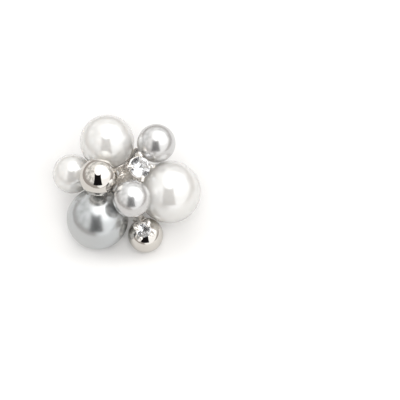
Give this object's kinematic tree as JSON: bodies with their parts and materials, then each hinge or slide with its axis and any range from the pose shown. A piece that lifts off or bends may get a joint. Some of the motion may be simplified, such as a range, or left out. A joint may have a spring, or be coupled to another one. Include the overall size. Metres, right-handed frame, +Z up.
{
  "type": "cluster stud earring",
  "caption": "Stud earring: a cluster of white and grey pearls, polished metal balls and claw-set crystals on a branched metal frame with a straight ear post.",
  "frame": {"origin": "on the surface that the earring lies on, under the middle of its outline", "axes": "+X to the right across the face as the picture shows it, +Y towards the back, where the post's tip rests, +Z up from the surface. The face looks up and towards -Y."},
  "size_m": [0.0248, 0.0211, 0.0163],
  "materials": {
    "frame_metal": "polished silver-coloured plating",
    "post_metal": "drawn wire, satin",
    "white_pearl": "pearl lustre, white",
    "grey_pearl": "pearl lustre, mid grey",
    "pale_grey_pearl": "pearl lustre, pale grey",
    "polished_metal": "mirror polish",
    "crystal": "clear, faceted and polished"
  },
  "bodies": {
    "root": {"metal_frame": "frame_metal", "ear_post": "post_metal", "white_pearl_top": "white_pearl", "white_pearl_left": "white_pearl", "white_pearl_right": "white_pearl", "grey_pearl_large": "grey_pearl", "grey_pearl_top": "pale_grey_pearl", "grey_pearl_front": "pale_grey_pearl", "silver_ball_front": "polished_metal", "silver_ball_low": "polished_metal", "crystal_large": "crystal", "crystal_small": "crystal"}
  },
  "joints": []
}
